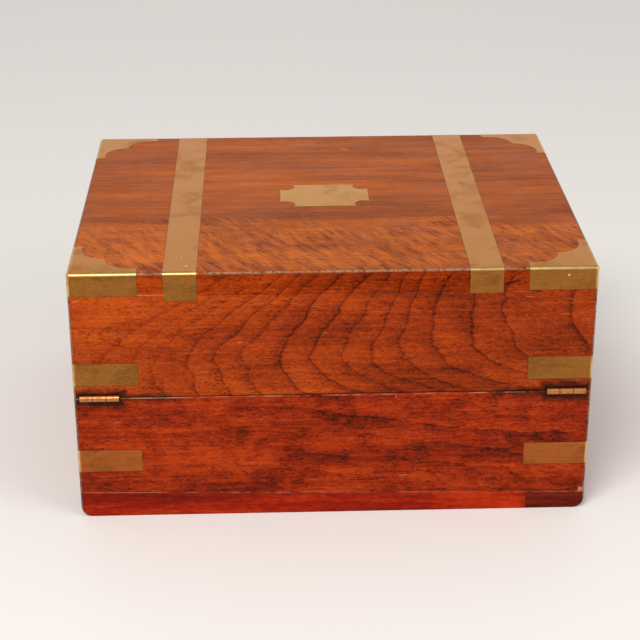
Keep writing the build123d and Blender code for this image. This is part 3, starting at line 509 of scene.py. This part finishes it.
def scratches(s, shown, seed, strength):
    """A few short pale scratches and specks."""
    lines = s.noise((26, 26, 0.35), 1, 0.3, seed)
    gaps = s.fade(s.noise((12, 12, 12), 2, 0.5, seed + 1), 0.60, 0.68)
    specks = s.fade(s.noise((2.2, 2.2, 2.2), 1, 0.4, seed + 2), 0.83, 0.88)
    marks = s.most(s.times(s.fade(lines, 0.71, 0.77), gaps), specks)
    return s.mix(s.times(marks, strength), shown, colour(214, 176, 140))


def worn_edges(s, shown, seed, strength=0.8):
    """Arrises rubbed pale and speckled, with dirt beside them."""
    band = s.arris(2.2)
    speckle = s.fade(s.noise((2.4, 2.4, 2.4), 3, 0.7, seed), 0.36, 0.54)
    patches = s.fade(s.noise((30, 30, 30), 2, 0.5, seed + 1), 0.26, 0.46)
    shown = s.mix(s.times(s.arris(3.4), patches, 0.5), shown, colour(54, 26, 16))
    return s.mix(s.times(band, speckle, patches, strength), shown, colour(166, 136, 112))


def finish_wood(s, seed, edges=0.8, scratch=0.5, marks=()):
    """The outside's marks, scratches and worn edges, over a polished wood."""
    shown = s.shader.inputs["Base Color"].links[0].from_socket
    for mark in marks:
        shown = mark(s, shown)
    shown = scratches(s, shown, seed, scratch)
    s.set(Base_Color=worn_edges(s, shown, seed + 3, edges))
    return s.material


NEAR_ZONE_Y = -48                       # where the top's near, rippled part ends


def top_figure(s, tone, crowd):
    """The near third is bright with a ripple across the grain, the rest plainer, with a dark band between."""
    edge = s.plus(s.y, s.sway(26, (120, 40, 40), 3, 0.6, 31.0))
    near = s.fade(edge, NEAR_ZONE_Y + 6, NEAR_ZONE_Y - 6)
    band_start = s.fade(edge, NEAR_ZONE_Y - 6, NEAR_ZONE_Y + 4)
    band = s.times(band_start, s.fade(edge, NEAR_ZONE_Y + 40, NEAR_ZONE_Y + 8))
    slant = s.vector(s.plus(s.x, s.times(s.y, 0.55)), s.y, s.z)
    ripple = s.fade(s.noise((7.5, 30, 60), 2, 0.5, 32.0, 0.3, at=slant), 0.36, 0.64)
    bars = s.fade(s.noise((2.6, 12, 60), 2, 0.5, 34.0, 0.2, at=slant), 0.52, 0.66)
    patchy = s.fade(s.noise((70, 40, 50), 2, 0.5, 33.0), 0.36, 0.58)
    ripple = s.times(s.less(ripple, 0.5), near, patchy)
    bars = s.times(bars, near, s.plus(0.35, s.times(patchy, 0.65)))
    long_grain = s.less(s.noise((170, 5.5, 60), 3, 0.6, 35.0), 0.5)
    tone = s.plus(
        s.times(s.less(tone, 0.5), 1.1),
        0.46,
        s.times(near, 0.10),
        s.times(band, -0.10),
        s.times(ripple, 0.26),
        s.times(bars, -0.30),
        s.times(long_grain, s.fade(near, 0, 1, 0.5, 0.15)),
    )
    return tone, s.times(crowd, s.fade(near, 0, 1, 0.7, 0.9))


RED_SHADES = (colour(76, 20, 6), colour(144, 47, 10), colour(186, 76, 18))
BASE_SHADES = (colour(70, 15, 5), colour(140, 36, 8), colour(180, 62, 14))
TOP_SHADES = (colour(104, 42, 5), colour(159, 74, 11), colour(200, 100, 16))
STRIP_SHADES = (colour(84, 12, 5), colour(140, 24, 7), colour(188, 52, 13))
PATCH_SHADES = (colour(44, 8, 5), colour(96, 20, 8), colour(130, 36, 13))
INSIDE_SHADES = (colour(84, 32, 16), colour(142, 66, 34), colour(178, 94, 50))
LINING_SHADES = (colour(104, 66, 38), colour(166, 116, 70), colour(198, 152, 102))


def top_board_wood():
    """The lid's top, whose turned-down edges have the same cut of wood as the walls below them."""
    s = Shade("mahogany_top")
    flat, flat_marks = wood_colour(s, "x", TOP_SHADES, 1.0, 0.45, 0.55, 0.5, top_figure)
    long_edge, long_marks = wood_colour(s, "x", RED_SHADES, 2.0, 0.9, 0.75, 0.6, lid_back_figure)
    short_edge, short_marks = wood_colour(s, "y", RED_SHADES, 4.0, 0.7, 0.7, 0.7)
    level = s.fade(s.z, HEIGHT - 2.4, HEIGHT - 0.8)
    at_end = s.fade(s.away(s.x, 0), HALF_WIDTH - 1.2, HALF_WIDTH - 0.3)
    edge = s.mix(at_end, long_edge, short_edge)
    edge_marks = s.mix(at_end, long_marks, short_marks)
    return polish(s, s.mix(level, edge, flat), s.mix(level, edge_marks, flat_marks), 1.0, 0.30, 0.03)


def make_woods():
    """Every wood of the box, by the place it is for."""
    back_looks = {"pores": 0.9, "streaks": 0.75, "broad": 0.6, "figure": lid_back_figure}
    base_looks = {"pores": 0.95, "streaks": 0.9, "broad": 0.8, "figure": base_back_figure}
    strip_looks = {"pores": 0.25, "streaks": 0.9, "broad": 0.7, "figure": strip_figure}
    patch_looks = {"pores": 0.5, "streaks": 0.8, "broad": 0.8}
    plain_looks = {"pores": 0.7, "streaks": 0.7, "broad": 0.7}
    rough_looks = {"pores": 0.45, "streaks": 0.8, "broad": 0.5}
    lid_back = wood("mahogany_lid_back", "x", RED_SHADES, 2.0, 0.26, **back_looks)
    base_back = wood("mahogany_base_back", "x", BASE_SHADES, 3.0, 0.26, **base_looks)
    strip = wood("mahogany_strip", "x", STRIP_SHADES, 6.0, 0.26, **strip_looks)
    patch = wood("mahogany_patch", "x", PATCH_SHADES, 7.0, 0.28, **patch_looks)
    ends = wood("mahogany_ends", "y", RED_SHADES, 4.0, 0.28, **plain_looks)
    long = wood("mahogany_long", "x", RED_SHADES, 5.0, 0.28, **plain_looks)
    return {
        "top": finish_wood(top_board_wood(), 41.0, 0.9, 0.5, [lid_back_marks]),
        "lid_back": finish_wood(lid_back, 42.0, 0.7, 0.6, [hinge_stain, lid_back_marks]),
        "base_back": finish_wood(base_back, 43.0, 0.7, 0.4, [hinge_stain, base_back_marks]),
        "ends": finish_wood(ends, 44.0),
        "long": finish_wood(long, 45.0),
        "strip": finish_wood(strip, 46.0, 0.4, 0.3),
        "patch": finish_wood(patch, 47.0, 0.4, 0.3),
        "inside": wood("mahogany_inside", "x", INSIDE_SHADES, 8.0, 0.42).material,
        "inside_across": wood("mahogany_inside_across", "y", INSIDE_SHADES, 9.0, 0.42).material,
        "lining": wood("lining_wood_long", "x", LINING_SHADES, 10.0, 0.55, **rough_looks).material,
        "lining_across": wood("lining_wood_across", "y", LINING_SHADES, 11.0, 0.55, **rough_looks).material,
    }


# ---------------------------------------------------------------- brass, steel, glass and leather
def brass(name, top, side, seed, rough=0.34, pins=()):
    """Aged brass: cloudy tarnish, fine rub marks, and edges kept bright by handling and painted paler still
    as a highlight; the sides are painted darker than the top as a reflection, and sharp edges get painted
    shade.
    """
    s = Shade(name)
    # painted reflection: the top takes a lighter brass colour and the sides a darker one, as for the bright
    # and dark things they reflect
    level = s.fade(s.z, HEIGHT - 2.2, HEIGHT - 0.5)
    base = s.mix(level, side, top)
    cloud = s.noise((26, 26, 14), 4, 0.6, seed, 0.4)
    olive = s.fade(cloud, 0.46, 0.72)
    base = s.mix(s.times(olive, s.fade(level, 0, 1, 0.6, 0.12)), base, darkened(side, 0.5))
    fine = s.noise((3.2, 3.2, 2.0), 4, 0.7, seed + 1)
    base = s.mix(s.fade(fine, 0.35, 0.75, 0.0, 0.30), base, darkened(top, 1.12))
    rub_x = s.noise((30, 0.5, 0.5), 2, 0.5, seed + 2)
    rub_y = s.noise((0.5, 30, 0.5), 2, 0.5, seed + 3)
    rub = s.times(s.plus(rub_x, rub_y), 0.5)
    base = s.mix(s.fade(rub, 0.46, 0.66, 0.0, 0.25), base, darkened(top, 1.1))
    # partly real, partly painted highlight: the rounded edges are rubbed bright and painted paler still, as
    # where they catch the light
    bright = s.times(s.arris(2.6), s.fade(s.noise((8, 8, 8), 2, 0.5, seed + 4), 0.25, 0.6, 0.55, 1.0))
    base = s.mix(s.times(bright, 0.85), base, colour(240, 208, 140))
    # painted shade: a dark line along the brass's sharp edges, as in the gaps beside it
    line = s.times(s.crease(0.5), 0.5)
    base = s.mix(line, base, colour(84, 58, 28))
    for x, y, z, radius in pins:
        off = s.add("ShaderNodeVectorMath", operation="DISTANCE")
        s.feed(off.inputs[0], s.mm)
        off.inputs[1].default_value = (x, y, z)
        base = s.mix(s.fade(off.outputs["Value"], radius, radius * 0.6), base, colour(244, 214, 150))
    s.set(Base_Color=base, Metallic=1.0)
    s.set(Roughness=s.plus(rough, s.times(olive, 0.14), s.times(fine, 0.08), s.times(bright, -0.08)))
    s.bump(s.plus(s.times(rub, 0.6), s.times(fine, 0.4)), 0.03, 0.5)
    return s.material


def plain_metal(name, base, rough, seed, crease_shade=0.3):
    """Small brass or steel parts: spotted, with painted shade where a sharp edge or a seam runs."""
    s = Shade(name)
    spots = s.noise((4, 4, 4), 4, 0.65, seed)
    shown = s.mix(s.fade(spots, 0.4, 0.7, 0.0, 0.6), base, darkened(base, 0.45))
    # painted shade: darkened where a sharp edge or a seam runs, as in the gaps between a hinge's knuckles
    s.set(Base_Color=s.mix(s.times(s.crease(0.5), crease_shade), shown, darkened(base, 0.12)), Metallic=1.0)
    s.set(Roughness=s.fade(spots, 0.3, 0.7, rough - 0.06, rough + 0.14))
    s.bump(spots, 0.02, 0.5)
    return s.material


def glass_material():
    s = Shade("inkwell_glass")
    s.set(Base_Color=colour(226, 240, 232), Transmission_Weight=1.0, IOR=1.5)
    waves = s.noise((14, 14, 20), 2, 0.5, 61.0)
    s.set(Roughness=s.fade(waves, 0.3, 0.8, 0.01, 0.07))
    s.bump(waves, 0.15, 0.4)
    return s.material


def up_slope(s):
    """How far up the sloping lid joint a point lies, in millimetres from the hinge line."""
    return s.plus(
        s.times(s.less(s.y, HINGE_Y), math.cos(SLOPE)),
        s.times(s.less(s.z, HINGE_Z), math.sin(SLOPE)),
    )


def leather_material(name, start, end, seed):
    """Green writing leather, rubbed brown in the middle, with a double gilt line round it."""
    s = Shade(name)
    t = up_slope(s)
    inset = s.least(s.less(LEATHER_REACH + 0.2, s.away(s.x, 0)), s.less(t, start), s.less(end, t))
    grain = s.noise((1.1, 1.1, 1.1), 3, 0.6, seed)
    patchy = s.noise((48, 48, 48), 4, 0.65, seed + 1)
    greens = [(0.25, colour(24, 42, 30)), (0.55, colour(40, 62, 42)), (0.80, colour(66, 76, 48))]
    shown = s.steps(patchy, greens)
    rubbed = s.times(s.fade(inset, 12, 60), s.fade(s.noise((30, 22, 22), 4, 0.7, seed + 2), 0.46, 0.68))
    shown = s.mix(s.times(rubbed, 0.65), shown, colour(104, 88, 54))
    shown = s.mix(s.fade(grain, 0.42, 0.62, 0.0, 0.35), shown, colour(18, 26, 18))
    ink = s.fade(s.noise((7, 7, 7), 3, 0.55, seed + 3), 0.73, 0.76)
    shown = s.mix(s.times(ink, 0.9), shown, colour(14, 12, 18))
    worn = s.fade(s.noise((5, 5, 5), 3, 0.65, seed + 4), 0.34, 0.46)
    gilt = s.most(s.fade(s.away(inset, 6.0), 0.75, 0.45), s.fade(s.away(inset, 8.6), 0.45, 0.25))
    gilt = s.times(gilt, worn)
    s.set(Base_Color=s.mix(gilt, shown, colour(206, 160, 84)), Metallic=s.times(gilt, 0.85))
    s.set(Roughness=s.plus(0.46, s.times(grain, 0.22), s.times(gilt, -0.2)), Specular_IOR_Level=0.4)
    s.bump(s.plus(s.times(grain, 0.8), s.times(gilt, -0.8), s.times(patchy, 0.5)), 0.12, 0.7)
    return s.material


def stained_tray():
    """The pen tray's wood, blotted with old ink along its trough."""
    s = Shade("mahogany_pen_tray")
    shown, marks = wood_colour(s, "x", INSIDE_SHADES, 12.0)
    polish(s, shown, marks, 12.0, 0.42)
    low = s.fade(s.z, 135.5, 130.0, 0.25, 1.0)
    blots = s.fade(s.noise((16, 12, 12), 4, 0.6, 71.0), 0.56, 0.64)
    spots = s.fade(s.noise((4, 4, 4), 2, 0.5, 72.0), 0.70, 0.74)
    shown = s.shader.inputs["Base Color"].links[0].from_socket
    s.set(Base_Color=s.mix(s.times(s.most(blots, spots), low, 0.8), shown, colour(20, 16, 24)))
    return s.material


# ---------------------------------------------------------------- dressing the frame
def dress(names, material):
    for name in names:
        mesh = nodes[name].data
        mesh.materials.clear()
        mesh.materials.append(material)


WOODS = make_woods()
dress(["lid_top_board"], WOODS["top"])
dress(["lid_wall_hinge_side"], WOODS["lid_back"])
dress(["base_wall_hinge_side"], WOODS["base_back"])
dress(["lid_wall_lock_side", "base_wall_lock_side"], WOODS["long"])
dress(["lid_wall_left", "lid_wall_right", "base_wall_left", "base_wall_right", "drawer_front"], WOODS["ends"])
dress(["bottom_board"], WOODS["strip"])
dress(["bottom_edge_patch"], WOODS["patch"])
dress(["base_writing_flap", "lid_writing_flap", "well_divider"], WOODS["inside"])
dress(["pen_tray"], stained_tray())
dress(["inkwell_partitions"], WOODS["inside_across"])
dress(["drawer_guides", "drawer_dustboard", "drawer_hinge_side", "drawer_lock_side"], WOODS["lining"])
dress(["drawer_bottom", "drawer_back"], WOODS["lining_across"])

# Brass colours for the top and for the sides: the sides are painted darker, as a reflection of dark things;
# the base angles' sides get a more coppery shade of it
BRASS_LIT_TOP, BRASS_SHADED_SIDE = colour(188, 122, 44), colour(142, 92, 44)
COPPERY_SHADED_SIDE = colour(164, 88, 44)
# The ends of the pins that hold the brass: place and radius.
CORNER_PINS = [(168.7, -152.7, 192, 0.9)]
STRAP_PINS = [(-105.6, -140, 198.1, 1.0), (-109.6, -123, 198.1, 0.7)]


def nodes_like(start):
    return [name for name in nodes if name.startswith(start)]


dress(nodes_like("lid_corner"), brass("brass_corner", BRASS_LIT_TOP, BRASS_SHADED_SIDE, 81.0, pins=CORNER_PINS))
dress(nodes_like("lid_strap"), brass("brass_strap", BRASS_LIT_TOP, BRASS_SHADED_SIDE, 82.0, pins=STRAP_PINS))
dress(["lid_nameplate"], brass("brass_nameplate", colour(198, 142, 68), BRASS_SHADED_SIDE, 83.0, 0.36))
dress(nodes_like("lid_angle"), brass("brass_lid_angle", BRASS_LIT_TOP, BRASS_SHADED_SIDE, 84.0))
dress(nodes_like("base_angle"), brass("brass_base_angle", BRASS_LIT_TOP, COPPERY_SHADED_SIDE, 85.0))
dress(nodes_like("hinge_leaf"), plain_metal("brass_hinge", colour(200, 130, 76), 0.38, 86.0, 0.85))
small_brass = plain_metal("brass_fittings", colour(208, 160, 92), 0.30, 87.0)
dress(["base_flap_hinges", "lid_flap_hinges", "inkwell_caps"], small_brass)
dress(["keyhole_escutcheon", "lock_case", "lock_link_plate"], small_brass)
dress(["drawer_handle_plate", "drawer_handle_bail"], small_brass)
dress(["base_screws", "lid_screws", "drawer_handle_screws"], small_brass)
dress(["hinge_pins", "lock_bolt"], plain_metal("steel", colour(150, 146, 140), 0.32, 88.0))
dress(["inkwell_left", "inkwell_right"], glass_material())


# ---------------------------------------------------------------- pieces of the scene's own
def add_piece(name, mesh, body, material, replaced):
    """Puts a mesh in the scene as a piece that rides on a body and stands for a node."""
    piece = bpy.data.objects.new(name, mesh)
    bpy.context.scene.collection.objects.link(piece)
    mesh.materials.append(material)
    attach(piece, body)
    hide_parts(replaced)
    return piece


def slope_point(x, t, n):
    """A point of the sloping joint's frame, from millimetres to metres in the shared frame."""
    y = HINGE_Y + t * math.cos(SLOPE) - n * math.sin(SLOPE)
    z = HINGE_Z + t * math.sin(SLOPE) + n * math.cos(SLOPE)
    return Vector((x, y, z)) / 1000


def add_screw_head(made, centre, facing, turn):
    """A flush head with a real slot: two half discs over a floor."""
    slot, depth, sides = SCREW_HEAD * 0.16, 0.55, 16
    frame_turn = facing.to_track_quat("Z", "Y").to_matrix() @ Matrix.Rotation(turn, 3, "Z")
    start = math.asin(slot / SCREW_HEAD)

    def point(x, y, z):
        """A point of the head, from its own millimetres."""
        return made.verts.new(centre + frame_turn @ Vector((x, y, z)) / 1000)

    def disc(outline, top, bottom):
        """A flat solid of the outline between two heights."""
        upper = [point(x, y, top) for x, y in outline]
        lower = [point(x, y, bottom) for x, y in outline]
        made.faces.new(upper)
        made.faces.new(list(reversed(lower)))
        for i in range(len(outline)):
            j = (i + 1) % len(outline)
            made.faces.new((upper[i], lower[i], lower[j], upper[j]))

    arc = [start + (math.pi - 2 * start) * i / sides for i in range(sides + 1)]
    half = [(SCREW_HEAD * math.cos(a), SCREW_HEAD * math.sin(a)) for a in arc]
    disc(half, 0.0, -depth)
    disc([(-x, -y) for x, y in half], 0.0, -depth)
    whole = [math.tau * i / (2 * sides) for i in range(2 * sides)]
    disc([(SCREW_HEAD * math.cos(a), SCREW_HEAD * math.sin(a)) for a in whole], -depth, -depth - 0.4)


def screw_heads(body, replaced, places, facing):
    mesh = bpy.data.meshes.new(f"{body}_screw_heads")
    made = bmesh.new()
    for i, place in enumerate(places):
        add_screw_head(made, place, facing, 0.4 + 1.7 * i)
    made.to_mesh(mesh)
    made.free()
    add_piece(f"{body}_screw_heads", mesh, body, small_brass, replaced)


def joint_screw_places(n):
    """The screws in the hinge leaves and the lock's plates, at a height above the sloping joint."""
    leaves = [slope_point(side * x, LEAF_SCREW_UP, n) for side in (-1, 1) for x in LEAF_SCREW_X]
    return leaves + [slope_point(side * LOCK_SCREW_X, LOCK_SCREW_UP, n) for side in (-1, 1)]


def handle_screw_places():
    sides = (-HANDLE_SCREW_Y, HANDLE_SCREW_Y)
    return [Vector((HANDLE_SCREW_X, y, z)) / 1000 for y in sides for z in HANDLE_SCREW_Z]


SLOPE_UP = Vector((0, -math.sin(SLOPE), math.cos(SLOPE)))
screw_heads("base", "base_screws", joint_screw_places(-SCREW_SUNK), SLOPE_UP)
screw_heads("lid", "lid_screws", joint_screw_places(SCREW_SUNK), -SLOPE_UP)
screw_heads("drawer", "drawer_handle_screws", handle_screw_places(), Vector((1, 0, 0)))


def leather_grid(made, half, start, end, seed):
    """The hide's face, a little uneven, with its edges pressed down. half is 1 on the lid, -1 on the base."""
    columns, rows = 130, 76
    face = half * 0.50
    grid = []
    for j in range(rows + 1):
        line = []
        for i in range(columns + 1):
            x = -LEATHER_REACH + 2 * LEATHER_REACH * i / columns
            t = start + (end - start) * j / rows
            edge = min(LEATHER_REACH - abs(x), t - start, end - t)
            swell = soft_noise(Vector((x / 34, t / 26, seed))) * 0.10
            swell += soft_noise(Vector((x / 7, t / 7, seed))) * 0.04
            drop = 0.28 * max(0.0, 1 - edge / 2.5) ** 2
            line.append(made.verts.new(slope_point(x, t, face + half * (drop - swell * min(1, edge / 4)))))
        grid.append(line)
    for j in range(rows):
        for i in range(columns):
            corners = (grid[j][i], grid[j][i + 1], grid[j + 1][i + 1], grid[j + 1][i])
            made.faces.new(tuple(reversed(corners)) if half > 0 else corners)


def leather_sheet(name, body, half, start, end, seed):
    """A thin hide laid in the flap's pocket, between two places up the slope."""
    mesh = bpy.data.meshes.new(name)
    made = bmesh.new()
    leather_grid(made, half, start + LEATHER_GAP, end - LEATHER_GAP, seed)
    made.to_mesh(mesh)
    made.free()
    for polygon in mesh.polygons:
        polygon.use_smooth = True
    material = leather_material(name, start, end, seed * 10 + 5)
    sheet = add_piece(name, mesh, body, material, f"{body}_writing_leather")
    thick = sheet.modifiers.new("thickness", "SOLIDIFY")
    thick.thickness = LEATHER_THICK / 1000
    thick.offset = -1


leather_sheet("base_leather", "base", -1, 26.26, 224.07, 1.5)
leather_sheet("lid_leather", "lid", 1, 27.61, 284.42, 2.5)
